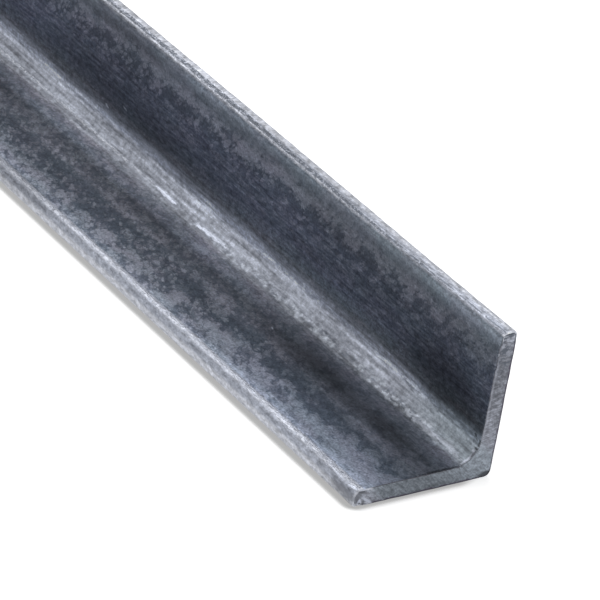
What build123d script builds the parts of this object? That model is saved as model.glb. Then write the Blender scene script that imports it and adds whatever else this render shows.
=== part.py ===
from build123d import *
import os

# Hot-rolled equal angle, as a bar cut to length.
# It lies on the back of one leg, with the other leg standing up from its +Y edge.
# +X runs along the bar, +Z is up, and the origin is the middle of its footprint.
# All sizes are in millimetres.

# Driving dimensions
BAR_LENGTH = 500.0          # from sawn end to sawn end
LEG_WIDTH = 25.0            # over the outside of each leg, the same for both
LEG_THICKNESS = 3.0         # of both legs
ROOT_RADIUS = 4.0           # the hollow fillet in the inside corner
TOE_INNER_RADIUS = 1.2      # edge of each toe that faces the other leg
TOE_OUTER_RADIUS = 0.8      # edge of each toe on the back of its leg
HEEL_RADIUS = 1.2           # the outside corner, where the two backs meet


def section_corners():
    """The sharp corners of the L, as (y, z), going round from the heel."""
    back = LEG_WIDTH / 2
    inside = back - LEG_THICKNESS
    return {
        "heel": (back, 0),
        "flat_toe_outer": (-back, 0),
        "flat_toe_inner": (-back, LEG_THICKNESS),
        "root": (inside, LEG_THICKNESS),
        "upright_toe_inner": (inside, LEG_WIDTH),
        "upright_toe_outer": (back, LEG_WIDTH),
    }


def rolled_section():
    """The L as the last pair of rolls leaves it, with every corner rounded."""
    corners = section_corners()
    roundings = {
        "heel": HEEL_RADIUS,
        "flat_toe_outer": TOE_OUTER_RADIUS,
        "flat_toe_inner": TOE_INNER_RADIUS,
        "root": ROOT_RADIUS,
        "upright_toe_inner": TOE_INNER_RADIUS,
        "upright_toe_outer": TOE_OUTER_RADIUS,
    }
    with BuildSketch() as section:
        with BuildLine():
            Polyline(*corners.values(), close=True)
        make_face()
        for name, radius in roundings.items():
            corner = section.vertices().sort_by_distance((*corners[name], 0))[0]
            fillet(corner, radius)
    return section.sketch


def angle_bar():
    """The section drawn out along X, square-cut at both ends."""
    across = Plane.YZ * rolled_section()
    bar = extrude(across, amount=BAR_LENGTH / 2, both=True)
    bar.label = "angle_bar"
    return bar


os.makedirs("parts", exist_ok=True)
bar = angle_bar()
export_step(bar, "parts/angle_bar.step")
STEEL_DENSITY = 7.85e-6     # kilograms in a cubic millimetre
print("angle_bar:", bar.bounding_box().size, "mm,", round(bar.volume * STEEL_DENSITY, 3), "kg")
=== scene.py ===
# %% [markdown]
# # Hot-rolled steel angle
# The object is a bar of rolled steel with an L-shaped section, sawn square at its ends. The
# rolls leave long fine lines, the hot steel grows a dark, patchy oxide called mill scale, and
# the places that rub stay nearly bare. The plain solid could be dressed as it is, but a real
# bar is never that smooth, so a finer mesh is built in the same place and replaces it.

# %% Load the solid as a fixed frame
import math

import bpy
import numpy as np
from mathutils import Matrix, Vector


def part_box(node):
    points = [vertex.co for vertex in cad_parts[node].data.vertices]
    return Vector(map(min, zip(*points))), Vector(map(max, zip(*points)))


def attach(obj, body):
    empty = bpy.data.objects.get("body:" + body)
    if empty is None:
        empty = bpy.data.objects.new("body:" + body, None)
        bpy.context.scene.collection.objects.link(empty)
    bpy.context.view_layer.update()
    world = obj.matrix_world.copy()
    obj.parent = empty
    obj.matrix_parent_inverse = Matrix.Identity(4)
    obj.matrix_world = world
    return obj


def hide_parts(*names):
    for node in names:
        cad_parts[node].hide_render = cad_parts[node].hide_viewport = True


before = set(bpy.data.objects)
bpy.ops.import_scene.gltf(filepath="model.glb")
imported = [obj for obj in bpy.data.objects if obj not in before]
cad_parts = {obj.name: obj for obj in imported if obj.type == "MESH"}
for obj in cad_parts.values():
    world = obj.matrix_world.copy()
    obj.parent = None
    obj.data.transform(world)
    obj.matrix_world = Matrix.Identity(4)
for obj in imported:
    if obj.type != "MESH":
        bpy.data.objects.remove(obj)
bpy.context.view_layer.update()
bar_low, bar_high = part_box("angle_bar")
print("solid from", tuple(bar_low), "to", tuple(bar_high))

# %% [markdown]
# ## The section
# Each leg is a strip with a rounded toe. The legs meet in a hollow fillet inside, the root,
# and in a small rounding outside, the heel. Both legs are alike, so half a section is enough,
# from the middle of the root or heel to the middle of a toe. It could be read back from the
# solid's facets, but those are coarse. Arcs and lines in millimetres are exact.

# %% Sizes of the section
MM = 0.001
BAR_LENGTH = (bar_high.x - bar_low.x) / MM
LEG_WIDTH = (bar_high.z - bar_low.z) / MM
LEG_THICKNESS = 3.0
ROOT_RADIUS = 4.0
TOE_INNER_RADIUS = 1.2
TOE_OUTER_RADIUS = 0.8
HEEL_RADIUS = 1.2
print(f"legs of {LEG_WIDTH:.2f} mm, length {BAR_LENGTH:.1f} mm")


# %% Arcs and lines, walked at a chosen spacing
def arc(centre, radius, start_deg, end_deg, steps):
    """Points on an arc, without its last one. Each is (out along the leg, up from it)."""
    turn = np.radians(np.linspace(start_deg, end_deg, steps, endpoint=False))
    return np.c_[centre[0] + radius * np.cos(turn), centre[1] + radius * np.sin(turn)]


def line(start, end, steps, crowding=1.0):
    """Points on a straight stretch, without its last one, closer together towards its end."""
    share = 1 - (1 - np.linspace(0, 1, steps, endpoint=False)[:, None]) ** crowding
    return np.array(start) * (1 - share) + np.array(end) * share


print("arcs and lines ready")

# %% Half the section inside and outside: half the root or heel, a face and a toe's rounding
TOE_MIDDLE = (LEG_WIDTH, (TOE_OUTER_RADIUS + LEG_THICKNESS - TOE_INNER_RADIUS) / 2)
ROOT = LEG_THICKNESS + ROOT_RADIUS
TOE_IN = (LEG_WIDTH - TOE_INNER_RADIUS, LEG_THICKNESS - TOE_INNER_RADIUS)
TOE_OUT = (LEG_WIDTH - TOE_OUTER_RADIUS, TOE_OUTER_RADIUS)
inside = np.vstack([
    arc((ROOT, ROOT), ROOT_RADIUS, 225, 270, 13),
    line((ROOT, LEG_THICKNESS), (TOE_IN[0], LEG_THICKNESS), 23, 1.25),
    arc(TOE_IN, TOE_INNER_RADIUS, 90, 0, 8),
    line((LEG_WIDTH, TOE_IN[1]), TOE_MIDDLE, 2),
])
outside = np.vstack([
    arc((HEEL_RADIUS, HEEL_RADIUS), HEEL_RADIUS, 225, 270, 5),
    line((HEEL_RADIUS, 0), (TOE_OUT[0], 0), 33, 1.4),
    arc(TOE_OUT, TOE_OUTER_RADIUS, -90, 0, 6),
    line((LEG_WIDTH, TOE_OUT[1]), TOE_MIDDLE, 2),
])
HALF_COUNT = len(inside)
print(HALF_COUNT, "points from root to toe, and", len(outside), "from heel to toe")

# %% [markdown]
# ## Once round the section
# The ring starts at the heel, goes out under the lying leg, round its toe, back over its
# inside, up through the root and over the standing leg to the heel again. Every point also
# gets its girth: the way round from the root in millimetres, negative on the lying leg.
# Relief and finish are both laid out by girth, as if the section was opened out flat.


# %% The ring of section points
def lying(points):
    """(out, up) becomes (y, z) on the leg that lies on the floor."""
    return np.c_[LEG_WIDTH / 2 - points[:, 0], points[:, 1]]


def standing(points):
    """The same half, on the leg that stands up."""
    return lying(points[:, ::-1])


toe = np.array([TOE_MIDDLE])
ring = np.vstack([
    lying(outside), lying(toe), lying(inside[:0:-1]),
    standing(inside), standing(toe), standing(outside[:0:-1]),
])
ROUND = len(ring)
sides = np.linalg.norm(np.roll(ring, -1, axis=0) - ring, axis=1)
HALF_GIRTH = sides.sum() / 2
girth = np.r_[0, np.cumsum(sides)] - HALF_GIRTH
print(ROUND, "points round, girth", round(2 * HALF_GIRTH, 2), "mm")

# %% Which way is out
ahead = np.roll(ring, -1, axis=0) - np.roll(ring, 1, axis=0)
ring_out = np.c_[-ahead[:, 1], ahead[:, 0]]
ring_out /= np.linalg.norm(ring_out, axis=1)[:, None]
print("out at the heel", ring_out[0].round(2))

# %% [markdown]
# ## Stations along the bar
# The near end is seen from close by, so it gets a station every 0.4 mm, and the sawn arrises
# get finer ones still. The rest is only seen whole, and stations 2.4 mm apart carry its
# waves. One even spacing would blur the near end or waste most triangles on the far one.

# %% The stations, as distances from the +X end
CLOSE_STRETCH = 112.0
CLOSE_STEP = 0.4
FAR_STEP = 2.4
ARRIS_STEP = 0.05
STEP_GROWTH = 0.14


def step_at(distance):
    """How far it is to the next station: small at both ends, growing away from them."""
    from_end = min(distance, BAR_LENGTH - distance)
    growing = ARRIS_STEP + STEP_GROWTH * from_end
    beyond = CLOSE_STEP + STEP_GROWTH * max(0.0, distance - CLOSE_STRETCH)
    return min(growing, beyond, FAR_STEP)


stations = [0.0]
while stations[-1] < BAR_LENGTH - ARRIS_STEP / 2:
    stations.append(stations[-1] + step_at(stations[-1]))
stations = np.array(stations) * BAR_LENGTH / stations[-1]
print(len(stations), "stations,", len(stations) * ROUND * 2, "triangles on the skin")

# %% [markdown]
# ## Relief left by the rolls
# Blender can displace a mesh with a texture, but here each kind of relief has its own place
# on the section. So the heights are worked out with arrays: smooth random values on a
# lattice with long narrow cells, because rolling draws everything out. Each has its own seed.


# %% Smooth random heights
def span(values):
    """The smallest and the largest value, for printing."""
    return f"{values.min():.3f} to {values.max():.3f}"


def smooth_step(share):
    """0 to 1 with a soft start and end."""
    share = np.clip(share, 0, 1)
    return share * share * (3 - 2 * share)


def noise(along, around, cell_along, cell_around, seed):
    """Heights from -1 to 1 that change over cells of this size in millimetres."""
    columns = int(BAR_LENGTH / cell_along) + 3
    rows = int(2 * HALF_GIRTH / cell_around) + 3
    lattice = np.random.default_rng(seed).uniform(-1, 1, (columns, rows))
    u, v = along / cell_along, (around + HALF_GIRTH) / cell_around
    i, j = u.astype(int), v.astype(int)
    a, b = smooth_step(u - i), smooth_step(v - j)
    near = lattice[i, j] * (1 - b) + lattice[i, j + 1] * b
    far = lattice[i + 1, j] * (1 - b) + lattice[i + 1, j + 1] * b
    return near * (1 - a) + far * a


def within(value, start, end, softness):
    """1 where the value lies between start and end, with soft edges."""
    rise = smooth_step((value - start) / softness + 0.5)
    fall = smooth_step((value - end) / softness + 0.5)
    return rise * (1 - fall)


along, around = np.meshgrid(stations, girth[:-1], indexing="ij")
print("grid of", along.shape, "places")

# %% Where things are on the girth
FACE_START = math.pi * ROOT_RADIUS / 4
FACE_END = FACE_START + LEG_WIDTH - LEG_THICKNESS - ROOT_RADIUS - TOE_INNER_RADIUS
TOE_START = FACE_END + math.pi * TOE_INNER_RADIUS / 2
TOE_END = TOE_START + LEG_THICKNESS - TOE_INNER_RADIUS - TOE_OUTER_RADIUS
BACK_START = TOE_END + math.pi * TOE_OUTER_RADIUS / 2
print(f"inner face {FACE_START:.2f} to {FACE_END:.2f}, back from {BACK_START:.2f}")

# %% Waves, blisters and rolling lines
WAVE_HEIGHT = 0.05
BLISTER_HEIGHT = 0.014
LINE_HEIGHT = 0.012
waves = WAVE_HEIGHT * noise(along, around, 34, 11, 1)
blisters = BLISTER_HEIGHT * (noise(along, around, 2.6, 1.7, 2) + noise(along, around, 1.2, 0.9, 3))
lines = LINE_HEIGHT * noise(along, around, 9, 0.6, 4)
relief = waves + blisters + lines
print("skin relief", span(relief), "mm")

# %% The rubbed band in the root stands a little proud, with a ragged lower edge
ROOT_EDGE = -1.6
ROOT_STEP = 0.06
wander = 0.4 * noise(along, 0 * around, 3.1, 9, 5) + 0.35 * noise(along, 0 * around, 0.9, 9, 6)
in_root = within(around, ROOT_EDGE + wander, FACE_START + 0.6, 0.35)
flaky = noise(along, around, 3, 0.6, 7) + 0.7 * noise(along, around, 1.0, 0.4, 10)
relief += in_root * (ROOT_STEP + 0.03 * flaky)
print("root band covers", round(100 * in_root.mean(), 1), "% of the grid")

# %% Two slivers rolled into the root
SLIVERS = [(84.1, -0.8, 2.8, 0.2), (68.7, -0.85, 2.1, 0.24)]
SLIVER_HEIGHT = 0.10
for middle, place, half_length, half_width in SLIVERS:
    reach = np.abs(along - middle) / half_length
    spread = (around - place) / half_width
    relief += SLIVER_HEIGHT * smooth_step(1.4 - reach) * np.exp(-spread**2)
print(len(SLIVERS), "slivers")

# %% Ragged toes
TOE_RAGGED = 0.035
on_toe = within(np.abs(around), FACE_END + 0.4, BACK_START, 0.8)
ragged = 0.5 * noise(along, around, 4, 1.3, 8) + noise(along, around, 1.1, 0.5, 9)
relief += TOE_RAGGED * on_toe * ragged
print("relief with ragged toes", span(relief), "mm")

# %% [markdown]
# ## Keeping the size
# A relief that rises and falls would make the bar bigger than its solid. On the toes and
# backs, which set its size, the surface may therefore only lose height. Down in the inside
# corner nothing is measured, so it may do both.

# %% Lower the outer surfaces under the true section
outer = smooth_step((np.abs(around) - FACE_END) / 0.8)
ALLOWANCE = 0.02
lowered = np.minimum(relief - ALLOWANCE, 0)
at_heel = smooth_step((HALF_GIRTH - np.abs(around)) / 1.0)
relief = relief * (1 - outer) + lowered * outer * at_heel
print("relief kept to", span(relief), "mm")

# %% [markdown]
# ## The sawn arrises
# A saw leaves a sharp corner that handling soon dulls, most of all at the toes. Each end
# draws in by a little over its last fraction of a millimetre, and the curved lip that this
# makes is what catches the light. A bevel modifier would bevel the relief as well.

# %% Draw the skin in at its ends
ARRIS_REACH = 0.22
ARRIS_DEPTH = 0.07
TOE_WEAR = 3.2
from_end = np.minimum(along, BAR_LENGTH - along)
at_toe = smooth_step((np.abs(around) - FACE_END + 0.5) / 1.5)
at_toe *= smooth_step((BACK_START + 1.5 - np.abs(around)) / 1.5)
wear = 1 + (TOE_WEAR - 1) * at_toe + 0.35 * noise(0 * along, around, 9, 1.5, 11)
chattered = within(around, 14.5, FACE_END + 0.5, 1.0)
wear += chattered * (1.4 + 2.2 * noise(0 * along, around, 9, 0.7, 12))
share = np.clip(1 - from_end / (ARRIS_REACH * (1 + at_toe + 0.6 * chattered)), 0, 1)
relief -= ARRIS_DEPTH * wear * (1 - np.sqrt(1 - share**2))
print("arris wear", span(wear))

# %% The standing toe's outer corner gets sharper away from the near end
SHARPEST = 0.25
SHARPENED_OVER = 90.0
corner = np.array([LEG_WIDTH / 2, LEG_WIDTH])
in_corner = (np.abs(ring - corner) < TOE_OUTER_RADIUS + 0.001).all(axis=1)
sharpness = smooth_step(stations / SHARPENED_OVER)[:, None, None]
section = np.tile(ring, (len(stations), 1, 1))
section[:, in_corner] += (corner - ring[in_corner]) * (1 - SHARPEST) * sharpness
skin = np.empty((len(stations), ROUND, 3))
skin[:, :, 0] = BAR_LENGTH / 2 - along
skin[:, :, 1:] = section + ring_out[None] * relief[:, :, None]
print(int(in_corner.sum()), "corner points moved, skin grid", skin.shape)

# %% [markdown]
# ## The sawn faces
# Each end could be closed with one many-sided face, but that can't carry the saw's marks.
# The ring has as many points from toe to toe by the backs as by the insides, so rows of
# points between the two sides fill the L with an even grid.

# %% A grid across each end
ACROSS = 13
by_backs = np.arange(HALF_COUNT, -HALF_COUNT - 1, -1) % ROUND
by_insides = np.arange(HALF_COUNT, 3 * HALF_COUNT + 1)
SHARES = np.linspace(0, 1, ACROSS + 1)


def end_rows(rim):
    """Points inside one sawn end, row by row from the backs to the insides."""
    backs, insides = rim[by_backs[1:-1]], rim[by_insides[1:-1]]
    return np.stack([backs * (1 - t) + insides * t for t in SHARES[1:-1]])


near_rows, far_rows = end_rows(skin[0]), end_rows(skin[-1])
print("rows and points across one end:", near_rows.shape[:2])


# %% Saw marks: coarse ridges from each stroke, always below the end plane
def saw_depth(points, slope, pitch, seed):
    """Depth in millimetres that the saw took off at each point."""
    level = points[..., 2] + slope * points[..., 1]
    drift = 0.8 * np.sin(level * 0.9 + seed) + 0.5 * np.sin(points[..., 1] * 0.7 + seed)
    stroke = np.sin(2 * math.pi * level / pitch + drift)
    return 0.014 * (stroke + 1)


near_rows[..., 0] -= saw_depth(near_rows, 0.2, 1.0, 0.4)
far_rows[..., 0] += saw_depth(far_rows, -0.3, 1.3, 2.1)
print("near end marks", span(BAR_LENGTH / 2 - near_rows[..., 0]), "mm deep")

# %% [markdown]
# ## A chip and a dented toe
# The bar was dropped on one toe. A ball pressed into the corner from outside gives a chip a
# plausible hollow: every point inside the ball moves straight out to its surface.


# %% Press a ball into a corner
def press(points, centre, radius, flatten):
    """Moves the points that lie inside a flattened ball out to its surface."""
    offset = (points - np.array(centre)) / np.array(flatten)
    distance = np.linalg.norm(offset, axis=-1, keepdims=True)
    fuzz = 1 + 0.12 * np.sin(9 * points[..., :1] + 7 * points[..., 1:2] + 11 * points[..., 2:])
    factor = np.maximum(radius * fuzz / np.maximum(distance, 1e-6), 1.0)
    return np.array(centre) + offset * factor * np.array(flatten)


END = BAR_LENGTH / 2
CHIPS = [
    ((END + 0.22, -11.25, 0.1), 1.0, (0.55, 0.45, 1.1)),
    ((END + 0.22, -10.1, -0.35), 1.0, (0.45, 0.75, 0.8)),
    ((END + 0.15, 9.2, 21.4), 0.4, (1, 1, 1.3)),
    ((END + 0.2, 9.25, 19.6), 0.4, (1, 1, 2.0)),
]
for centre, radius, flatten in CHIPS:
    skin = press(skin, centre, radius, flatten)
    near_rows = press(near_rows, centre, radius, flatten)
print(len(CHIPS), "chips pressed in")


# %% [markdown]
# ## One mesh
# Skin and ends share their rim points, so the bar is closed. The mesh is made straight from
# the arrays, which is far faster than adding faces one at a time.

# %% Number the points and list the faces
points = np.vstack([skin.reshape(-1, 3), near_rows.reshape(-1, 3), far_rows.reshape(-1, 3)])
COUNT = len(stations)
number = np.arange(COUNT * ROUND).reshape(COUNT, ROUND)
ahead_number = np.roll(number, -1, axis=1)
skin_faces = np.stack(
    [number[:-1], ahead_number[:-1], ahead_number[1:], number[1:]], axis=-1
).reshape(-1, 4)
print(len(points), "points,", len(skin_faces), "skin faces")


# %% Faces across the ends
def end_faces(rim_numbers, first, flip):
    """Quads of one end; its two corner cells at the toes are triangles."""
    inner_count = 2 * HALF_COUNT - 1
    rows = np.arange(first, first + (ACROSS - 1) * inner_count).reshape(ACROSS - 1, inner_count)
    grid = np.vstack([rim_numbers[by_backs[1:-1]], rows, rim_numbers[by_insides[1:-1]]])
    quads = np.stack([grid[:-1, :-1], grid[:-1, 1:], grid[1:, 1:], grid[1:, :-1]], axis=-1)
    faces = quads.reshape(-1, 4).tolist()
    for column, tip, turned in ((0, HALF_COUNT, False), (-1, 3 * HALF_COUNT, True)):
        edge = grid[:, column]
        tip_number = rim_numbers[tip]
        for a, b in zip(edge[:-1], edge[1:]):
            faces.append([tip_number, b, a] if turned else [tip_number, a, b])
    return [face[::-1] for face in faces] if flip else faces


first_near = COUNT * ROUND
first_far = first_near + near_rows.shape[0] * near_rows.shape[1]
near_faces = end_faces(number[0], first_near, True)
far_faces = end_faces(number[-1], first_far, False)
print(len(near_faces), "faces on each sawn end")


# %% Make the piece
def new_object(name, data):
    """Puts an object with this data into the scene."""
    made = bpy.data.objects.new(name, data)
    bpy.context.scene.collection.objects.link(made)
    return made


mesh = bpy.data.meshes.new("rolled_angle_bar")
faces = skin_faces.tolist() + near_faces + far_faces
mesh.from_pydata((points * MM).tolist(), [], faces)
bar = new_object("rolled_angle_bar", mesh)
mesh.shade_smooth()
finish_index = np.r_[np.zeros(len(skin_faces)), np.ones(2 * len(near_faces))].astype(np.int32)
mesh.polygons.foreach_set("material_index", finish_index)
print(len(mesh.vertices), "vertices,", len(mesh.polygons), "faces")

# %% [markdown]
# ## A flat pattern for the finish
# The finish is painted on the section opened out flat: distance from the sawn end one way,
# girth the other, both in millimetres. On the ends it is simply the distance across and up.
# A UV map holds it, because its numbers stay with the surface whatever the bar does.

# %% The unrolled map
unrolled = mesh.uv_layers.new(name="unrolled")
corner_points = np.empty(len(mesh.loops), np.int32)
mesh.loops.foreach_get("vertex_index", corner_points)
place = points[:, 1:].copy()
place[:COUNT * ROUND] = np.c_[along.reshape(-1), around.reshape(-1)]
corner_place = place[corner_points]
print("unrolled map reaches", corner_place.max(axis=0).round(1))

# %% Close the map's seam at the heel and keep the ends' rims on their own map
skin_corners = 4 * len(skin_faces)
seam = np.zeros(len(corner_place), bool)
seam[:skin_corners] = (np.arange(len(skin_faces)) % ROUND == ROUND - 1).repeat(4)
at_heel_point = corner_points % ROUND == 0
corner_place[seam & at_heel_point, 1] = HALF_GIRTH
corner_place[skin_corners:] = points[corner_points[skin_corners:], 1:]
unrolled.data.foreach_set("uv", corner_place.reshape(-1).astype(np.float32))
print("seam corners", int(seam.sum()))

# %% A second map on the ends: how far each point is from the two sides of the section
rim_map = mesh.uv_layers.new(name="rim")
thickness = np.linalg.norm(ring[by_insides] - ring[by_backs], axis=1)
edge_distance = np.full((len(points), 2), 5.0)
for first_row, rim_numbers in ((first_near, number[0]), (first_far, number[-1])):
    block = np.stack([np.outer(SHARES, thickness), np.outer(1 - SHARES, thickness)], axis=-1)
    edge_distance[rim_numbers[by_backs]] = block[0]
    edge_distance[rim_numbers[by_insides]] = block[-1]
    inner = block[1:-1, 1:-1].reshape(-1, 2)
    edge_distance[first_row:first_row + len(inner)] = inner
rim_map.data.foreach_set("uv", edge_distance[corner_points].reshape(-1).astype(np.float32))
mesh.uv_layers.active = mesh.uv_layers["unrolled"]
print("wall thickness", span(thickness), "mm")

# %% [markdown]
# ## Small tools for materials
# A material is a graph of nodes. It could be linked by hand, but this one has hundreds, and
# most only add or multiply. So the result of a node is wrapped in a small class: arithmetic
# on it places Math nodes, and each finish below reads like a sum.


# %% Results of nodes
class Varying:
    """The result of a node, a value that varies over the surface."""

    def __init__(self, socket):
        self.socket = socket
        self.tree = socket.id_data

    def __add__(self, other):
        return calc("ADD", self, other)

    def __sub__(self, other):
        return calc("SUBTRACT", self, other)

    def __rsub__(self, other):
        return calc("SUBTRACT", other, self)

    def __mul__(self, other):
        return calc("MULTIPLY", self, other)

    def __rmul__(self, other):
        return calc("MULTIPLY", other, self)

    def __truediv__(self, other):
        return calc("DIVIDE", self, other)


def feed(value, socket):
    """Links a result to a socket, or writes a plain number or colour on it."""
    if isinstance(value, Varying):
        value.tree.links.new(value.socket, socket)
    else:
        socket.default_value = (*value, 1) if isinstance(value, tuple) else value


def tree_of(values):
    """The tree in which these values are made."""
    return next(value.tree for value in values if isinstance(value, Varying))


def new_node(kind, values, inputs=None):
    """Places a node by its values, which go to its first inputs or the named ones."""
    node = tree_of(values).nodes.new("ShaderNode" + kind)
    for name, value in zip(inputs or range(len(values)), values):
        feed(value, node.inputs[name])
    return node


def calc(operation, *values, clamp=False):
    """One step of arithmetic."""
    step = new_node("Math", values)
    step.operation = operation
    step.use_clamp = clamp
    return Varying(step.outputs[0])


def larger(*values):
    """The larger of two values."""
    return calc("MAXIMUM", *values)


print("results can be added and multiplied")


# %% Helpers that remap, mix, join and split
def remap(value, low, high, new_low=0, new_high=1):
    """Stretches low..high to new_low..new_high with soft ends."""
    stretch = new_node("MapRange", (value, low, high, new_low, new_high))
    stretch.interpolation_type = "SMOOTHSTEP"
    return Varying(stretch.outputs[0])


def fade(value, low, high):
    """1 up to low, 0 from high, and soft in between."""
    return remap(value, low, high, 1, 0)


def between(value, *ends):
    """1 in the middle of a stretch; it rises over its first two ends and falls over the others."""
    return remap(value, *ends[:2]) * fade(value, *ends[2:])


def join(x, y, z=0):
    """Makes one place out of its numbers."""
    return Varying(new_node("CombineXYZ", (x, y, z)).outputs[0])


def split(value, kind="SeparateXYZ"):
    """The three numbers of a place or a colour; a flat map holds the first two of a place."""
    return [Varying(part) for part in new_node(kind, (value,)).outputs]


def blend(factor, under, over, kind="MIX", clamp=True):
    """Lays one colour over another."""
    values = (factor, under, over)
    mix = tree_of(values).nodes.new("ShaderNodeMix")
    mix.data_type = "RGBA"
    mix.blend_type = kind
    mix.clamp_factor = clamp
    for name, value in zip(("Factor", "A", "B"), values):
        feed(value, mix.inputs[name])
    return Varying(mix.outputs["Result"])


print("remap, fade, between, join, split and blend ready")


# %% Helper for node groups
class Group:
    """A node group with one result. A call places it, with its first numbers or named ones."""

    def __init__(self, name, result, **numbers):
        self.tree = bpy.data.node_groups.new(name, "ShaderNodeTree")
        face = self.tree.interface
        face.new_socket("Place", in_out="INPUT", socket_type="NodeSocketVector")
        for label, value in numbers.items():
            label = label.replace("_", " ")
            socket = face.new_socket(label, in_out="INPUT", socket_type="NodeSocketFloat")
            socket.default_value = value
        face.new_socket(result, in_out="OUTPUT", socket_type="NodeSocketFloat")
        start = self.tree.nodes.new("NodeGroupInput")
        self.end = self.tree.nodes.new("NodeGroupOutput")
        self.given = [Varying(socket) for socket in start.outputs][:1 + len(numbers)]

    def give_back(self, result):
        """Ends the group with its result."""
        feed(result, self.end.inputs[0])
        print("group", self.tree.name)

    def __call__(self, *first, **numbers):
        placed = first[0].tree.nodes.new("ShaderNodeGroup")
        placed.node_tree = self.tree
        for value, socket in zip(first, placed.inputs):
            feed(value, socket)
        for label, value in numbers.items():
            feed(value, placed.inputs[label.replace("_", " ")])
        return Varying(placed.outputs[0])


print("groups can be made")

# %% [markdown]
# ## Drawn-out noise
# Everything on a rolled bar is longer than it is wide. This group is the noise that all the
# others start from. Its first two numbers are the length of a cell along the bar and its
# width round it, in millimetres. A Mapping node of the texture kind divides the place by
# them. The sawn ends use it turned, for the scratches that run with the saw.

# %% Group: drawn-out noise
drawn_noise = Group("drawn-out noise", "Value", Length=10, Width=1, Turn=0, Shift=0, Detail=2,
                    Roughness=0.5)
place, length, width, turned, shift, detail, roughness = drawn_noise.given
down = join(0, 0, shift * -1)
turn_back = join(0, 0, turned * -1)
cell = new_node("Mapping", (place, down, turn_back, join(length, width, 1)))
cell.vector_type = "TEXTURE"
pattern = new_node("TexNoise", (Varying(cell.outputs[0]), 1, detail, roughness),
                   ("Vector", "Scale", "Detail", "Roughness"))
drawn_noise.give_back(Varying(pattern.outputs[0]))

# %% [markdown]
# ## A band along the bar
# Rubbed places run the whole length of the bar, between one girth and another, but never
# with ruler-straight edges. The group lets each edge wander and softens it.

# %% Group: wandering band
band = Group("wandering band", "Mask", From=0, To=1, Softness=0.4, Wander=0.3, Length=5, Shift=0)
place, low, high, softness, wander, length, shift = band.given
WANDER_WIDTH = 1.6
WANDER_GAIN = 4
wobble = drawn_noise(place, length, WANDER_WIDTH, Shift=shift, Detail=3, Roughness=0.6)
here = split(place)[1] + (wobble - 0.5) * (wander * WANDER_GAIN)
half_soft = softness * 0.5
ends = (low - half_soft, low + half_soft, high - half_soft, high + half_soft)
band.give_back(between(here, *ends))

# %% [markdown]
# ## Patches of scale
# Mill scale lifts and wears in rounded patches a few millimetres long, with crumbling rims.
# A patch is where noise is above a level. Mixing in some finer noise first makes the rims
# crumble, and moving the level changes how much is covered, because some places rub more.

# %% Group: scale patches
patch = Group("scale patches", "Mask", Length=4, Width=2, Cover=0.5, Softness=0.06, Shift=0,
              Crumble=0.35)
place, length, width, cover, softness, shift, crumble = patch.given
broad = drawn_noise(place, length, width, Shift=shift, Detail=1.5, Roughness=0.4)
finer = drawn_noise(place, length * 0.33, width * 0.38, Shift=shift + 0.5, Roughness=0.6)
level = (finer - broad) * crumble + broad
cut = remap(cover, 0, 1, 0.68, 0.32)
patch.give_back(remap(level, cut - softness, cut + softness))

# %% [markdown]
# ## Rounded flecks
# Where scale has flaked off bit by bit, the bare flecks are rounded and lie close together,
# with thin dark gaps between them, like cobbles. A Voronoi texture has just that layout: each
# cell gets one fleck, whose size comes from a random value of the cell and from the cover.

# %% Group: flecks
fleck = Group("rounded flecks", "Mask", Length=2, Width=1.6, Cover=0.5, Softness=0.1, Shift=0,
              Crumble=0.5)
place, length, width, cover, softness, shift, crumble = fleck.given
WARP = 1.3
SIZE_SPREAD = 0.8
here = split(place)
bend, cell = [], []
for axis, size, apart in ((0, length, 0.2), (1, width, 0.7)):
    warp = drawn_noise(place, length * 0.7, width * 0.7, Shift=shift + apart, Roughness=0.6)
    bend.append(warp - 0.5)
    cell.append(bend[axis] * WARP + (here[axis] / size + shift))
cells = new_node("TexVoronoi", (join(*cell), 1), ("Vector", "Scale"))
cells.voronoi_dimensions = "2D"
lot = split(Varying(cells.outputs["Color"]), "SeparateColor")[0]
radius = (lot - 0.5) * SIZE_SPREAD + cover
rough_distance = (bend[0] + bend[1]) * crumble + Varying(cells.outputs["Distance"])
fleck.give_back(fade(rough_distance, radius - softness, radius + softness))

# %% [markdown]
# ## A spot in one place
# A sliver of steel rolled into the surface, a smear or a nick is one oval in one place. The
# group measures how far a point is from its middle. The noise that breaks up its rim comes
# in as the third number of the place, so all spots share one, and the render is quick.

# %% Group: spot
spot = Group("spot", "Mask", Along=0, Around=0, Half_length=1, Half_width=1, Tilt=0,
             Softness=0.3, Ragged=0)
place, along_at, around_at, half_length, half_width, tilt, softness, ragged = spot.given
FRAY_GAIN = 4
here = split(place)
beside = here[0] - along_at
above = here[1] - around_at - beside * tilt
p = beside / half_length
q = above / half_width
reach = (here[2] - 0.5) * ragged * FRAY_GAIN + calc("SQRT", p * p + q * q)
spot.give_back(fade(reach, 1 - softness, softness + 1))

# %% [markdown]
# ## Start of the rolled finish
# The material reads the unrolled map once. The girth that the charts read wanders a little,
# because the rolls never leave a boundary quite straight.


# %% Helpers for materials
def new_material(name):
    """A new material, its tree and its shader."""
    material = bpy.data.materials.new(name)
    material.use_nodes = True
    return material, material.node_tree, material.node_tree.nodes["Principled BSDF"]


def read_map(tree, name):
    """The place that a UV map holds."""
    where = tree.nodes.new("ShaderNodeUVMap")
    where.uv_map = name
    return Varying(where.outputs[0])


def raise_relief(shader, height):
    """Gives a shader fine relief, in millimetres."""
    bump = new_node("Bump", (height, MM), ("Height", "Distance"))
    feed(Varying(bump.outputs[0]), shader.inputs["Normal"])


print("material helpers ready")

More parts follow.
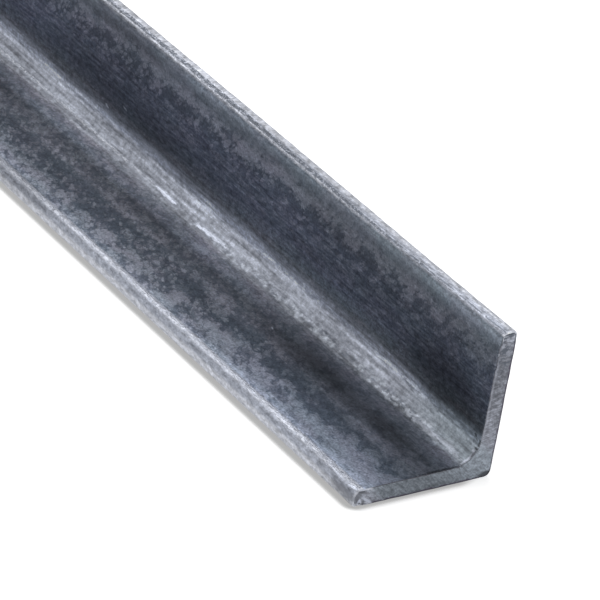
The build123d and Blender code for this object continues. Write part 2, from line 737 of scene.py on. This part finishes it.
# %% The rolled steel material and its place on the section
rolled, tree, steel = new_material("rolled steel with mill scale")
PLACE = read_map(tree, "unrolled")
DISTANCE, GIRTH = split(PLACE)[:2]
GIRTH_WANDER = 2.4
drift = drawn_noise(PLACE, 22, 9, Shift=20, Detail=3)
WANDERING_GIRTH = (drift - 0.5) * GIRTH_WANDER + GIRTH
ON_LYING_LEG = fade(GIRTH, -2, 0)
print("place is read from the unrolled map")


# %% A chart of values by girth
def girth_chart(value, stops):
    """Colours that change smoothly from stop to stop; each stop is (girth, colour)."""
    whole = 2 * HALF_GIRTH
    chart = new_node("ValToRGB", (value * (1 / whole) + 0.5,))
    elements = chart.color_ramp.elements
    while len(elements) < len(stops):
        elements.new(1)
    for element, (at, _) in zip(elements, stops):
        element.position = at / whole + 0.5
    for element, (_, colour) in zip(chart.color_ramp.elements, stops):
        element.color = (*colour, 1)
    return Varying(chart.outputs[0])


def steel_tone(level, red, blue):
    """A steel colour of this level; cold oxide has little red and much blue."""
    return (level * red, level, level * blue)


def tone_family(red, blue):
    """A family of tones that only needs a level."""
    return lambda level: steel_tone(level, red, blue)


cold = tone_family(0.87, 1.25)
inky = tone_family(0.875, 1.375)
brown = tone_family(0.90, 1.205)
rubbed = tone_family(0.94, 1.16)
bare = tone_family(0.965, 1.105)
print("tones: cold", cold(0.2), "bare", bare(0.6))

# %% The chart of tones, from the back of the lying leg to the back of the standing one
tone = girth_chart(WANDERING_GIRTH, [
    (-30, cold(0.22)), (-19.8, cold(0.35)), (-17.5, cold(0.2)), (-14.5, cold(0.168)),
    (-11.8, cold(0.142)), (-9.8, brown(0.182)), (-8.6, brown(0.145)), (-6.4, brown(0.115)),
    (-4.6, brown(0.205)), (-3, rubbed(0.25)), (4.6, rubbed(0.2)), (5.6, cold(0.153)),
    (8, inky(0.109)), (13, inky(0.119)), (15, steel_tone(0.099, 0.875, 1.32)),
    (16.6, steel_tone(0.107, 0.885, 1.29)), (19, steel_tone(0.113, 0.86, 1.25)),
    (20.6, steel_tone(0.17, 0.86, 1.23)), (24, cold(0.25)), (30, cold(0.22)),
])
print("tone chart has its stops")

# %% The chart of marks: mottling in red, cover in green, streaks in blue
marks = girth_chart(WANDERING_GIRTH, [
    (-30, (0.8, 0.5, 0.3)), (-19.5, (0.85, 0.46, 0.35)), (-16.5, (1, 0.43, 0.15)),
    (-14, (1, 0.36, 0.1)), (-11.5, (0.9, 0.36, 0.2)), (-9, (0.65, 0.46, 0.35)),
    (-5, (0.68, 0.46, 0.35)), (-2, (0.2, 0.5, 0.9)), (4, (0.1, 0.5, 1)),
    (8, (0.15, 0.4, 0.9)), (11.5, (0.45, 0.32, 0.8)), (13.4, (0.9, 0.33, 0.35)),
    (15, (1, 0.38, 0.1)), (16.8, (0.9, 0.48, 0.1)), (17.8, (0.75, 0.54, 0.2)),
    (18.6, (0.25, 0.5, 0.15)), (21, (0.25, 0.5, 0.15)), (30, (0.8, 0.5, 0.3)),
])
MOTTLING, COVER, STREAKS = split(marks, "SeparateColor")
print("mark chart has its stops")

# %% How much of the scale is lighter: by the chart, more or less from place to place
SPREAD = 0.28
spread = drawn_noise(PLACE, 9, 3.5, Shift=21)
handled = remap(DISTANCE, 16, 64, 0.13, -0.05) * ON_LYING_LEG
by_toe = remap(DISTANCE, 16, 50, 0.07, 0) * fade(GIRTH, -16.5, -13)
cover = (spread - 0.5) * SPREAD + COVER + handled + by_toe
print("cover follows the chart")

# %% Where the largest patches lie: distance, girth, half length and half width in millimetres
BARE_PATCHES = [
    (108.2, -16.8, 2, 1.7), (103, -17.4, 1.8, 1.4), (97.4, -17.8, 2.8, 1.6),
    (90.2, -16, 2.2, 1.7), (84, -16.4, 1.6, 1.4), (77.4, -16, 1.8, 1.7),
    (75.8, -13.4, 1.4, 1.2), (71.6, -16.2, 1.6, 1.2), (65.8, -16.2, 2.4, 1),
    (56.8, -16.6, 1.8, 1.6), (51, -12.6, 2, 1.4), (43.6, -15.9, 4.2, 1.8),
    (90, 17.1, 9, 1.1), (48, 16.2, 6.5, 1.4), (65.5, 16.5, 5, 1.1), (56, 17.2, 5, 1),
    (28.8, 16.2, 1.6, 1.6), (22.6, 15.8, 1.9, 1.7), (15.2, 15.7, 1.7, 1.3), (4.9, 15.9, 2.4, 1.7),
]
SCALE_PATCHES = [
    (92, -11.4, 13, 1.2), (58.2, -12.6, 3.8, 1.7), (53.2, -17.2, 1.6, 1.2),
    (82, -14.4, 7, 1), (100.6, 16.2, 2.2, 1), (73, 16.8, 1.5, 1), (44, -11.6, 3, 1.3),
    (32.6, -11.7, 4.6, 1.7), (20.9, -13, 4.8, 2.2), (27.1, -16.1, 1.3, 1.4),
    (87, 15.1, 3.6, 1.4), (79.4, 15.2, 1.5, 1.2), (57.4, 14.9, 1.9, 1.5), (53.6, 14.8, 1.5, 1.3),
    (47.4, 14.9, 2.3, 1.5), (41, 14.7, 1.7, 1.4), (31.7, 15.2, 1.5, 1.4), (20.2, 14.6, 1.7, 1.1),
    (8.7, 15.2, 1.7, 1.4),
]
CHANGE = 0.26
placed = 0
for ovals, change in ((BARE_PATCHES, CHANGE), (SCALE_PATCHES, -CHANGE)):
    for oval in ovals:
        placed = spot(PLACE, *oval, Softness=0.7) * change + placed
cover = cover + placed
print(len(BARE_PATCHES), "bare and", len(SCALE_PATCHES), "scaled patches placed")

# %% Rounded patches, and smaller fragments over and between them, which lean across the bar
LEAN = 0.6
ALONG_SHARE = 0.8
softer = remap(DISTANCE, 10, 60, 0.08, 0.03)
patches = patch(PLACE, 2.9, 2.5, cover, Softness=softer, Shift=3, Crumble=0.3)
lean = calc("LESS_THAN", GIRTH, -0.5) * (2 * LEAN) - LEAN
away = GIRTH * lean + DISTANCE * ALONG_SHARE
across = GIRTH * ALONG_SHARE - DISTANCE * lean
LEANING_PLACE = join(away, across)
flecks = fleck(LEANING_PLACE, 2.3, 1.5, cover, Softness=0.14, Shift=4)
crumbs = fleck(LEANING_PLACE, 1.35, 0.75, cover, Softness=0.2, Shift=5)
PATCHY = patches * 0.2 + flecks * 0.36 + crumbs * 0.44
smoother = remap(DISTANCE, 20, 60, 0.4, 0) * ON_LYING_LEG
PATCHY = remap((patches - PATCHY) * smoother + PATCHY, 0.08, 0.9)
MOTTLING = MOTTLING * remap(DISTANCE, 8, 50, 0.76, 1)
print("patches follow the cover")

# %% Everything that has a place frays its rim with one noise
crumbling = drawn_noise(PLACE, 1.5, 1.3, Shift=27, Detail=3, Roughness=0.6)
FRAYED_PLACE = join(DISTANCE, GIRTH, crumbling)
print("one noise frays all the rims")

# %% Streaks drawn along the bar, short ones over long ones, and a comb on the standing leg
short_lines = drawn_noise(PLACE, 1.5, 0.55, Shift=1, Roughness=0.55)
long_lines = drawn_noise(PLACE, 14, 0.75, Shift=2, Detail=2.5, Roughness=0.55)
STREAK = short_lines * 0.62 + long_lines * 0.38
comb = drawn_noise(PLACE, 4.5, 0.42, Shift=25)
on_comb = between(WANDERING_GIRTH, 5.5, 8, 12.5, 15)
print("streaks and comb placed")

# %% Broad clouds, dapple and the finest grain
clouds = drawn_noise(PLACE, 30, 5, Shift=22, Detail=3)
dapple = drawn_noise(PLACE, 1, 1, Shift=23, Roughness=0.55)
grain = drawn_noise(PLACE, 0.38, 0.32, Shift=8, Detail=1, Roughness=0.6)
print("clouds, dapple and grain placed")

# %% [markdown]
# ## Shading and tinting
# To shade a colour, the Mix node blends from black to it, and past it, because the factor
# isn't held under 1. A tint multiplies by another colour. Both keep the chain of colours in
# one kind of socket, which Cycles needs in a material this big.

# %% Shading a colour by a factor, a pattern or a tint
BLACK = (0, 0, 0)
WHITE = (1, 1, 1)


def shade(colour, factor):
    """Makes a colour lighter or darker by a factor that varies over the surface."""
    return blend(factor, BLACK, colour, clamp=False)


def vary(colour, *patterns):
    """Shades a colour with each (pattern, strength) in turn."""
    for pattern, strength in patterns:
        colour = shade(colour, (pattern - 0.5) * strength + 1)
    return colour


def tint(colour, by):
    """Multiplies one colour by another."""
    return blend(1, colour, by, "MULTIPLY")


print("shading helpers ready")

# %% Patches over the tones, then streaks, clouds and hues
PATCH_DARK = (0.555, 0.575, 0.605)
PATCH_LIGHT = (1.56, 1.47, 1.41)
mottle = blend(MOTTLING, WHITE, blend(PATCHY, PATCH_DARK, PATCH_LIGHT))
streaky = ON_LYING_LEG * -0.3 + (STREAKS * 2 + 0.7)
colour = tint(tone, mottle)
colour = vary(colour, (STREAK, streaky), (clouds, 0.9), (dapple, 1), (comb, on_comb * 1.5))
comb_hue = blend(remap(comb, 0.35, 0.65), (0.985, 1, 1.035), (1.01, 1, 0.965))
colour = tint(colour, blend(on_comb, WHITE, comb_hue))
hues = remap(drawn_noise(PLACE, 8, 3.5, Shift=26, Detail=3), 0.36, 0.64)
colour = tint(colour, blend(hues, (0.975, 1.005, 1), (1.025, 0.995, 1.01)))
bluer = blend(remap(DISTANCE, 10, 90), (1, 1, 0.965), (1, 1, 1.015))
browner = blend(remap(DISTANCE, 16, 60), (0.975, 1, 1.025), (1.01, 1, 0.985))
colour = tint(colour, blend(ON_LYING_LEG, bluer, browner))
print("patches, streaks, clouds and hues laid")

# %% [markdown]
# ## The rubbed root
# The inside corner is where bars slide in each other's laps, so its scale is burnished to a
# soft shine. The shine ends raggedly below, where flakes stand up, and fades out above.

# %% Root colours
root_tone = girth_chart(GIRTH, [
    (-2.6, rubbed(0.22)), (-1.6, rubbed(0.15)), (-0.8, rubbed(0.21)), (0, rubbed(0.39)),
    (1.4, rubbed(0.44)), (1.9, rubbed(0.5)), (2.5, rubbed(0.66)), (3.1, rubbed(0.7)),
    (3.8, rubbed(0.41)), (4.8, cold(0.205)),
])
root_shine = band(PLACE, -2, 4.5, Softness=1.2, Length=1.6, Shift=5)
root_colour = shade(root_tone, remap(DISTANCE, 2, 36, 0.81, 1.02))
root_lines = (long_lines, remap(DISTANCE, 6, 40, 1.4, 1.7))
root_streaks = (STREAK, remap(DISTANCE, 6, 40, 1.5, 1.6))
root_colour = vary(root_colour, root_lines, root_streaks, (dapple, 1.2), (clouds, 0.6))
root_colour = tint(root_colour, blend(fade(DISTANCE, 4, 22), WHITE, (0.95, 1.01, 0.985)))
colour = blend(root_shine, colour, root_colour)
print("root laid")

# %% Flakes along the lower edge of the root, with painted shade in the gaps beneath them
FLAKE_TONE = (0.38, 0.41, 0.465)
flake_band = band(PLACE, -1.85, -0.2, Softness=0.8, Wander=0.4, Length=6, Shift=9)
clumps = drawn_noise(PLACE, 4, 9, Shift=24)
flaky = remap(DISTANCE, 50, 76, 1, 0.35) * remap(DISTANCE, 1, 12, 0.35, 1)
flake_band = flake_band * (flaky * remap(clumps, 0.36, 0.56, 0.55, 1))
flakes = fleck(PLACE, 1.5, 0.95, 0.36, Softness=0.26, Shift=10, Crumble=1)
flake_shade_gaps = patch(PLACE, 1.8, 0.8, 0.42, Softness=0.08, Shift=11, Crumble=0.5)
# The dark gaps are painted shade beneath the raised flakes.
colour = blend(flake_band * (flake_shade_gaps * 0.6), colour, cold(0.12))
colour = blend(flake_band * (flakes * 0.72), colour, vary(FLAKE_TONE, (dapple, 2.6)))
print("flakes laid")

# %% [markdown]
# ## The toes
# The two toes take the knocks. Their scale is gone over most of the rounding, and a row of
# pits is left where the rolls closed on the edge of the strip.

# %% Toe colours
toe_tone = girth_chart(GIRTH, [
    (-24.5, bare(0.38)), (-23.2, bare(0.42)), (-22.4, bare(0.45)), (-22, bare(0.36)),
    (-21.75, rubbed(0.31)), (-21.4, rubbed(0.37)), (-21, rubbed(0.43)), (-20.7, rubbed(0.37)),
    (-20.35, rubbed(0.33)), (-19.6, rubbed(0.47)), (20.8, rubbed(0.28)), (21.15, rubbed(0.175)),
    (21.5, rubbed(0.225)), (21.75, rubbed(0.265)), (22, rubbed(0.35)), (22.25, rubbed(0.49)),
    (22.5, bare(0.575)), (22.9, bare(0.565)), (24.5, bare(0.545)),
])
standing_toe = band(PLACE, 20.75, 25.2, Wander=0.12, Shift=6)
lying_toe = band(PLACE, -25.2, -19.5, Softness=0.35, Wander=0.12, Length=4, Shift=7)
TOES = larger(standing_toe, lying_toe)
speckle = drawn_noise(PLACE, 1.4, 0.7, Shift=12, Detail=3, Roughness=0.6)
smooth_strip = remap(GIRTH, 22.4, 23)
calmer = ON_LYING_LEG * -0.5 + 2.5
colour = blend(TOES, colour, vary(toe_tone, (speckle, smooth_strip * -0.8 + calmer)))
print("toes laid")

# %% The seam on the standing toe: a row of pits, and a bright line inside it that is a painted highlight
seam_at = remap(DISTANCE, 5, 28, 21.15, 20.85) + remap(DISTANCE, 36, 100, 0, 0.5)
SEAM_PLACE = join(DISTANCE, GIRTH - seam_at)
standing_highlight_line = band(SEAM_PLACE, -0.22, 0.16, Softness=0.36, Wander=0.16, Length=1.6, Shift=16)
pits_end = remap(DISTANCE, 16, 80, 0.5, 1.15)
standing_pits = band(SEAM_PLACE, 0.2, pits_end, Softness=0.25, Wander=0.12, Length=3, Shift=13)
pit_length = remap(DISTANCE, 18, 50, 3.4, 0.9)
pits = patch(SEAM_PLACE, pit_length, 0.55, 0.5, Softness=0.04, Shift=15, Crumble=0.6)
print("the seam has its own place")

# %% Pits on the toes, bright lines painted as highlights on the toe roundings and the root's edge, and a lip by the sawn end
lying_pits = band(PLACE, -22, -21, Wander=0.15, Shift=14)
pitted = larger(standing_pits, lying_pits * 0.25) * pits
PITS = pitted * remap(DISTANCE, 16, 50, 0.7, 0.92)
colour = blend(PITS, colour, cold(0.1))
lying_highlight_line = band(PLACE, -20.75, -19.5, Softness=0.5, Wander=0.2, Length=1.8, Shift=17)
broken = patch(PLACE, 1.5, 0.6, 0.54, Softness=0.08, Shift=18, Crumble=0.7)
root_highlight_line = band(PLACE, -1, -0.65, Softness=0.3, Wander=0.14, Length=1.8, Shift=19)
root_highlight_line = root_highlight_line * remap(DISTANCE, 82, 98)
# All three bright lines are painted highlights: on the two toe roundings and along the root's
# lower edge, where the surface turns and catches the light.
PAINTED_HIGHLIGHT_LINES = larger(larger(standing_highlight_line, lying_highlight_line), root_highlight_line) * broken
highlight_strength = larger(remap(DISTANCE, 16, 50, 0.05, 0.62), ON_LYING_LEG * 0.55)
colour = blend(PAINTED_HIGHLIGHT_LINES * highlight_strength, colour, bare(0.54))
# The lip at the sawn end is lightened partly for wear and partly as a painted highlight where the
# rounded arris catches the light.
lip = fade((speckle - 0.5) * 1.2 + DISTANCE, 0.05, 0.4)
colour = blend(lip * TOES * 0.8, colour, bare(0.75))
print("toe lines and pits laid")

# %% [markdown]
# ## Marks in one place
# Two bright slivers were rolled into the root and some specks lie about. Broad places are
# darker or lighter, some of them near the sawn end, and by that end small painted highlights
# and painted shade sit on the toes and the root. Each is one spot. Their factors are
# multiplied first, as plain numbers, so that the colour is shaded only once.

# %% Darker and lighter places: middle, girth, half length, half width, factor
PLACES = [
    (102, 9.8, 20, 3.6, 0.74), (98, 4.2, 24, 3.2, 0.68), (33, 6.3, 22, 2.2, 1.32),
    (53, 13.2, 9, 3.6, 1.28), (11.5, 8, 8.5, 3.3, 0.47), (106, 19.6, 16, 1.8, 0.62),
    (6, 20.2, 9, 1.6, 1.38), (107, -6.4, 18, 3.2, 1.42), (25, -5, 20, 3.4, 0.62),
    (32, -6.2, 7, 1.8, 0.7), (12, -6.8, 5.5, 2, 0.64), (30, -4.2, 24, 4.4, 0.8),
    (14, -16.9, 22, 3.2, 1.14), (72, -10.4, 26, 2.6, 1.15), (4, -20.4, 9, 0.5, 0.8),
    (101, -20.7, 15, 1.7, 0.66), (26, -8.6, 14, 1.4, 0.84), (5, 4.1, 9, 1.2, 0.62),
    (20, 12.8, 12, 2.2, 0.76), (10, 21.9, 30, 0.6, 1.34), (98, 21.9, 22, 0.9, 1.34),
    (28, -11.2, 14, 2.2, 0.82), (30, -16.8, 11, 2.2, 1.16), (43, -1.6, 12, 0.6, 0.66),
    (14, -1.6, 6, 0.55, 0.62), (22, 1.2, 9, 2.2, 1.22), (76, 1.6, 3.5, 3.4, 1.22),
    (3, -9, 6, 1.6, 0.78), (65, -5.2, 11, 2.4, 1.2), (88, -5, 9, 2.2, 1.22),
    # The place at 2 mm and girth -22.4 darkens the lower side of the lying toe by the sawn end:
    # painted shade.
    (2, -22.4, 6, 1.2, 0.7), (107, 23.2, 14, 0.8, 0.78),
]
together = 1
for *oval, factor in PLACES:
    mask = spot(FRAYED_PLACE, *oval, Softness=0.6, Ragged=0.15)
    together = together * (mask * (factor - 1) + 1)
colour = shade(colour, together)
print(len(PLACES), "darker and lighter places")

# %% Slivers, specks, a smear, and painted highlights and shade by the sawn end: middle, girth, half length, half width, tilt, strength, level
MARKS_AND_PAINTED_LIGHT = [
    (84.1, -0.8, 2.9, 0.25, 0, 0.8, 0.64), (70.9, -0.9, 3.8, 0.3, -0.03, 0.8, 0.62),
    (107, 4.5, 0.5, 0.2, 0.3, 0.8, 0.6), (101.6, 6.6, 0.6, 0.16, 0.2, 0.6, 0.4),
    (43.5, -6.9, 0.4, 0.14, 0.3, 0.8, 0.6), (68.4, -4.1, 2, 0.8, 0, 0.5, 0.5),
    # From here on the marks sit by the sawn end. The bright ones at the root's end, on the root's
    # edge and on the lying toe's crest are painted highlights. The dark lines along the arrises
    # and the dark band low on the lying toe are painted shade.
    (0.15, -0.5, 0.35, 1.2, 0, 0.7, 0.45), (10.6, -1.3, 3.6, 0.4, 0.02, 0.35, 0.34),
    (4.6, -1.1, 3.4, 0.42, 0.03, 0.4, 0.4), (0.12, -6, 0.28, 3.4, 0, 0.8, 0.05),
    (0.1, 0.6, 0.22, 0.8, 0, 0.7, 0.08), (0.25, 1.4, 0.3, 0.22, 0, 0.9, 0.08),
    (0.5, 0.9, 0.3, 0.2, 0, 0.7, 0.55), (0.12, 2.3, 0.22, 0.5, 0, 0.8, 0.07),
    (1.3, 3.1, 0.35, 0.22, 0.2, 0.8, 0.1), (0.8, 2.6, 0.3, 0.12, 0.4, 0.7, 0.12),
    (1.8, -22, 3.2, 0.85, 0, 0.65, 0.13), (4.2, -20.7, 2, 0.2, 0.08, 0.6, 0.62),
    (1.4, -20.6, 1.2, 0.18, -0.15, 0.8, 0.72), (2.6, -21.15, 0.8, 0.13, 0.25, 0.5, 0.45),
]
spot_fray = drawn_noise(PLACE, 1.1, 0.45, Shift=30, Detail=3, Roughness=0.6)
SPOT_PLACE = join(DISTANCE, GIRTH, spot_fray)
left, laid = 1, 0
for *oval, strength, level in MARKS_AND_PAINTED_LIGHT:
    mask = spot(SPOT_PLACE, *oval, Softness=0.4, Ragged=0.7)
    kept = mask * -strength + 1
    left = left * kept
    laid = laid * kept + mask * (strength * level)
colour = blend(1, shade(colour, left), shade(rubbed(1), laid), "ADD")
print(len(MARKS_AND_PAINTED_LIGHT), "spots")

# %% Grain over everything, then metal, roughness and relief
SHINE = larger(TOES, root_shine)
colour = vary(colour, (grain, SHINE * -0.5 + 1.3))
feed(colour, steel.inputs["Base Color"])
steel.inputs["Metallic"].default_value = 1.0
roughness = SHINE * -0.06 + 0.45 + smooth_strip * 0.12 + (grain - 0.5) * 0.3
feed(roughness, steel.inputs["Roughness"])
height = grain * 0.012 + STREAK * 0.03 + dapple * 0.02 + PITS * -0.05 + PAINTED_HIGHLIGHT_LINES * 0.03
raise_relief(steel, height * (smooth_strip * -0.8 + 1))
print("relief in the finish is under 0.1 mm")

# %% [markdown]
# ## The sawn ends
# A saw cut starts as bare steel and soon dulls to a bluish grey. It is covered in fine
# scratches that lean a little out of level, with coarser chatter near the standing toe. The
# rim is darkened with painted shade, and the worn toes are lightened partly for wear and
# partly as a painted highlight.

# %% The sawn steel material and its places
sawn, tree, cut_steel = new_material("sawn steel")
FACE_PLACE = read_map(tree, "unrolled")
FROM_BACK, FROM_INSIDE = split(read_map(tree, "rim"))[:2]
SIDE, UP = split(FACE_PLACE)[:2]
print("two maps on the sawn ends")

# %% Scratches, chatter and grain
scratches = drawn_noise(FACE_PLACE, 3, 0.26, Turn=-0.22, Shift=31, Roughness=0.55)
cross_scratches = drawn_noise(FACE_PLACE, 1.6, 0.3, Turn=0.75, Shift=32, Roughness=0.55)
on_lying_leg = fade(UP, 2.6, 4.5)
SCRATCH = (cross_scratches - scratches) * on_lying_leg + scratches
blotches = drawn_noise(FACE_PLACE, 1.3, 0.8, Turn=0.4, Shift=33, Detail=3, Roughness=0.6)
cut_grain = drawn_noise(FACE_PLACE, 0.4, 0.35, Turn=0.3, Shift=34, Detail=1.5)
print("scratches cross on the lying leg")

# %% Colour of the cut, by how far it is out along either leg from the heel
ALONG_LEG = UP + (SIDE - bar_high.y / MM)
dull = tone_family(0.89, 1.15)
filed = tone_family(0.95, 1.16)
cut_tone = girth_chart(ALONG_LEG, [
    (-23, filed(0.27)), (-20.5, filed(0.27)), (-18.5, dull(0.185)), (-15.5, dull(0.165)),
    (-9.5, dull(0.155)), (-6.5, dull(0.185)), (-3, dull(0.235)), (2.5, dull(0.26)),
    (4.5, filed(0.225)), (10, filed(0.208)), (13, filed(0.19)), (15.5, filed(0.165)),
    (17.5, filed(0.142)), (19.5, filed(0.195)), (21.2, filed(0.235)), (22.5, filed(0.265)),
])
scratched = remap(UP, 16, 19, 1.4, 0.8)
blotchy = remap(ALONG_LEG, 4, 8, 1.3, 2.7) + fade(ALONG_LEG, -21, -18)
colour = vary(cut_tone, (SCRATCH, scratched), (blotches, blotchy), (cut_grain, 1.2))
chatter = patch(FACE_PLACE, 1.3, 0.7, 0.46, Softness=0.07, Shift=35.5, Crumble=0.4)
colour = blend(chatter * remap(UP, 17.5, 20) * 0.85, colour, cold(0.09))
print("cut tone by distance along a leg")

# %% Painted shade along the rims, worn toes lightened with a painted highlight too, and the burr with its painted shadow inside the standing leg
fray = drawn_noise(FACE_PLACE, 0.9, 0.9, Shift=36, Detail=3, Roughness=0.65)
FRAYED_FACE_PLACE = join(SIDE, UP, fray)
frayed = (fray - 0.5) * 0.7
# The dark rims are painted shade: along the backs, where the end meets the floor and at the
# standing leg's outer edge, and under the burr of the inner arrises.
back_rim_shade = fade(frayed * 1.4 + FROM_BACK, 0.14, 0.44)
inside_rim_shade = fade(FROM_INSIDE + frayed, 0.02, 0.22)
away_from_toes = remap(SIDE, -10.2, -8.8) * fade(UP, 23, 24.2)
painted_rim_shade = larger(inside_rim_shade * (on_lying_leg * 0.45 + 0.4), back_rim_shade * 0.85)
colour = blend(painted_rim_shade * away_from_toes, colour, (0.07, 0.06, 0.085))
nearest = calc("MINIMUM", FROM_BACK, FROM_INSIDE)
# The worn toes are lightened partly for wear and partly as a painted highlight on the rounded
# arris.
toe_wear_and_highlight = (1 - away_from_toes) * fade(nearest + frayed, 0.14, 0.44)
colour = blend(toe_wear_and_highlight * 0.9, colour, bare(0.75))
standing_part = between(UP, 6, 9, 20, 21)
ragged_inside = frayed * 1.5 + FROM_INSIDE
burr = between(ragged_inside, 0, 0.2, 0.3, 0.6)
shadow_line = between(ragged_inside, 0.55, 0.7, 0.85, 1.1)
colour = blend(burr * standing_part * 0.35, colour, filed(0.33))
colour = blend(shadow_line * standing_part * 0.35, colour, filed(0.1))
print("rims laid")

# %% Painted shade under the burr of the standing toe: a dark line at one distance from its outline
beside_middle = calc("ABSOLUTE", SIDE - 11)
over_side = larger(beside_middle - 0.5, 0)
over_top = larger(UP - 24, 0)
from_outline = frayed * 0.35 + (1 - calc("SQRT", over_side * over_side + over_top * over_top))
burr_shade = between(from_outline, 0.1, 0.2, 0.34, 0.52)
# This dark line is painted shade under the burr's lip, not a groove in the steel.
colour = blend(burr_shade * remap(UP, 22.6, 23.6) * 0.85, colour, cold(0.07))
print("groove follows the toe's outline")

# %% Marks on the end, mostly painted shade and highlights round the chip on the lying toe: across, up, half width, half height, tilt, strength, level
END_MARKS_AND_PAINTED_LIGHT = [
    (11.5, 0.6, 1.3, 0.42, 0.15, 0.85, 0.045), (-11.6, 1.6, 0.65, 1.15, 0.25, 0.7, 0.1),
    (-11.1, 2.55, 0.85, 0.28, -0.3, 0.8, 0.07), (-11.25, 0.75, 0.3, 0.6, 0, 0.8, 0.6),
    (-10.55, 0.9, 0.16, 0.5, 0, 0.6, 0.1), (-9.95, 0.85, 0.95, 0.26, -0.7, 0.8, 0.5),
    (-10.2, 0.12, 0.75, 0.28, -0.4, 0.85, 0.06), (8.05, 4.25, 0.48, 0.14, 0.9, 0.85, 0.05),
    (8.95, 5.3, 0.14, 0.2, 0, 0.8, 0.06), (9.6, 21.4, 0.14, 0.24, 0, 0.8, 0.5),
    (-10.7, 2.85, 1, 0.13, 0.05, 0.8, 0.62),
]
# Most of these are painted light and shade: dark arcs under the chip's lip, a bright facet and a
# bright line on the lip, and a light patch painted for the floor seen through the chip. The rest
# are a dark smudge at the heel, dark lines by the root and a bright nick.
for *oval, strength, level in END_MARKS_AND_PAINTED_LIGHT:
    mask = spot(FRAYED_FACE_PLACE, *oval, Softness=0.45, Ragged=0.3)
    colour = blend(mask * strength, colour, rubbed(level))
print(len(END_MARKS_AND_PAINTED_LIGHT), "spots on the ends")

# %% Metal, roughness and relief of the cut
feed(colour, cut_steel.inputs["Base Color"])
cut_steel.inputs["Metallic"].default_value = 1.0
feed((cut_grain - 0.5) * 0.4 + 0.46, cut_steel.inputs["Roughness"])
raise_relief(cut_steel, SCRATCH * 0.022 + cut_grain * 0.012 + blotches * 0.02)
print("sawn steel made")

# %% Dress the bar and tie it to the frame
mesh.materials.append(rolled)
mesh.materials.append(sawn)
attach(bar, "root")
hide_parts("angle_bar")
print("bar rides on the root body")

# %% [markdown]
# ## Floor and light
# The studio is one big white floor under an even white sky, with one large soft lamp. The
# paper glows a little to the camera, so it stays white, and its shadow is kept to a thin
# line by the steel: ambient occlusion finds what is close to the bar, and dims it.

# %% The floor
FLOOR_HALF = 15.0
floor_mesh = bpy.data.meshes.new("studio_floor")
corners = [(-FLOOR_HALF, -FLOOR_HALF, 0), (FLOOR_HALF, -FLOOR_HALF, 0),
           (FLOOR_HALF, FLOOR_HALF, 0), (-FLOOR_HALF, FLOOR_HALF, 0)]
floor_mesh.from_pydata(corners, [], [(0, 1, 2, 3)])
floor = new_object("studio_floor", floor_mesh)
print("floor", 2 * FLOOR_HALF, "m wide")

# %% Where the floor is dimmed: close to the steel, but not past its sawn end or by its heel
SHADOW_REACH = 1.85 * MM
white, tree, paper = new_material("white floor")
near = tree.nodes.new("ShaderNodeAmbientOcclusion")
near.samples = 16
near.inputs["Distance"].default_value = SHADOW_REACH
floor_place = tree.nodes.new("ShaderNodeTexCoord")
floor_x, floor_y = split(Varying(floor_place.outputs["Object"]))[:2]
past_end = fade(floor_x, bar_high.x, bar_high.x + 1.8 * MM)
beyond = remap(floor_x, bar_high.x - 40 * MM, bar_high.x - 20 * MM)
by_heel = remap(floor_y, bar_high.y - 6 * MM, bar_high.y - 1.5 * MM)
kept = beyond * by_heel * -1 + past_end
shadow = calc("MULTIPLY", fade(Varying(near.outputs["AO"]), 0.66, 1), kept, clamp=True)
print("shadow under the steel reaches", SHADOW_REACH, "m")

# %% The paper
SHADOW_TONE = (0.06, 0.06, 0.058)
GLOW = 0.46
path = {kind: Varying(ray) for kind, ray in tree.nodes.new("ShaderNodeLightPath").outputs.items()}
seen = larger(larger(path["Is Camera Ray"], path["Is Glossy Ray"]), path["Is Transmission Ray"])
shadow = shadow * path["Is Camera Ray"]
feed(blend(shadow, (0.9, 0.9, 0.9), SHADOW_TONE), paper.inputs["Base Color"])
paper.inputs["Roughness"].default_value = 1.0
paper.inputs["Specular IOR Level"].default_value = 0.0
paper.inputs["Emission Color"].default_value = (1.0, 1.0, 1.0, 1.0)
feed(seen * (shadow * -0.05 + GLOW), paper.inputs["Emission Strength"])
floor_mesh.materials.append(white)
print("paper glows with", GLOW)

# %% The sky and the lamp
world = bpy.data.worlds.new("even white sky")
bpy.context.scene.world = world
world.use_nodes = True
sky = world.node_tree.nodes["Background"]
sky.inputs["Color"].default_value = (1.0, 1.0, 1.0, 1.0)
sky.inputs["Strength"].default_value = 0.75
soft_lamp = bpy.data.lights.new("soft lamp", "AREA")
soft_lamp.size = 1.8
soft_lamp.energy = 16.8
lamp = new_object("soft lamp", soft_lamp)
lamp.location = (-1.3, 0.1, 2.0)
lamp.rotation_euler = (-lamp.location).to_track_quat("-Z", "Y").to_euler()
print("sky", sky.inputs["Strength"].default_value, "and lamp", soft_lamp.energy, "W")

# %% [markdown]
# ## Camera
# The camera stands to the right of the sawn end and above it, far off with a long lens, so
# the section keeps nearly the same proportions along the bar.

# %% The camera
CAMERA_PLACE = Vector((629.74, -327.62, 306.82)) * MM
VIEW_RIGHT = Vector((0.54719, 0.82431, 0.14522))
VIEW_DOWN = Vector((0.47913, -0.16622, -0.86186))
lens = bpy.data.cameras.new("long lens")
lens.lens = 241.2
lens.sensor_width = 36.0
lens.clip_start = 0.01
lens.clip_end = 100.0
camera = new_object("camera", lens)
backward = VIEW_RIGHT.cross(-VIEW_DOWN)
turn = Matrix((VIEW_RIGHT, -VIEW_DOWN, backward)).transposed().to_4x4()
camera.matrix_world = Matrix.Translation(CAMERA_PLACE) @ turn
bpy.context.scene.camera = camera
bpy.context.scene.view_settings.view_transform = "Standard"
print("camera at", tuple(round(v, 3) for v in camera.location))

# %% Update the scene and finish
bpy.context.view_layer.update()
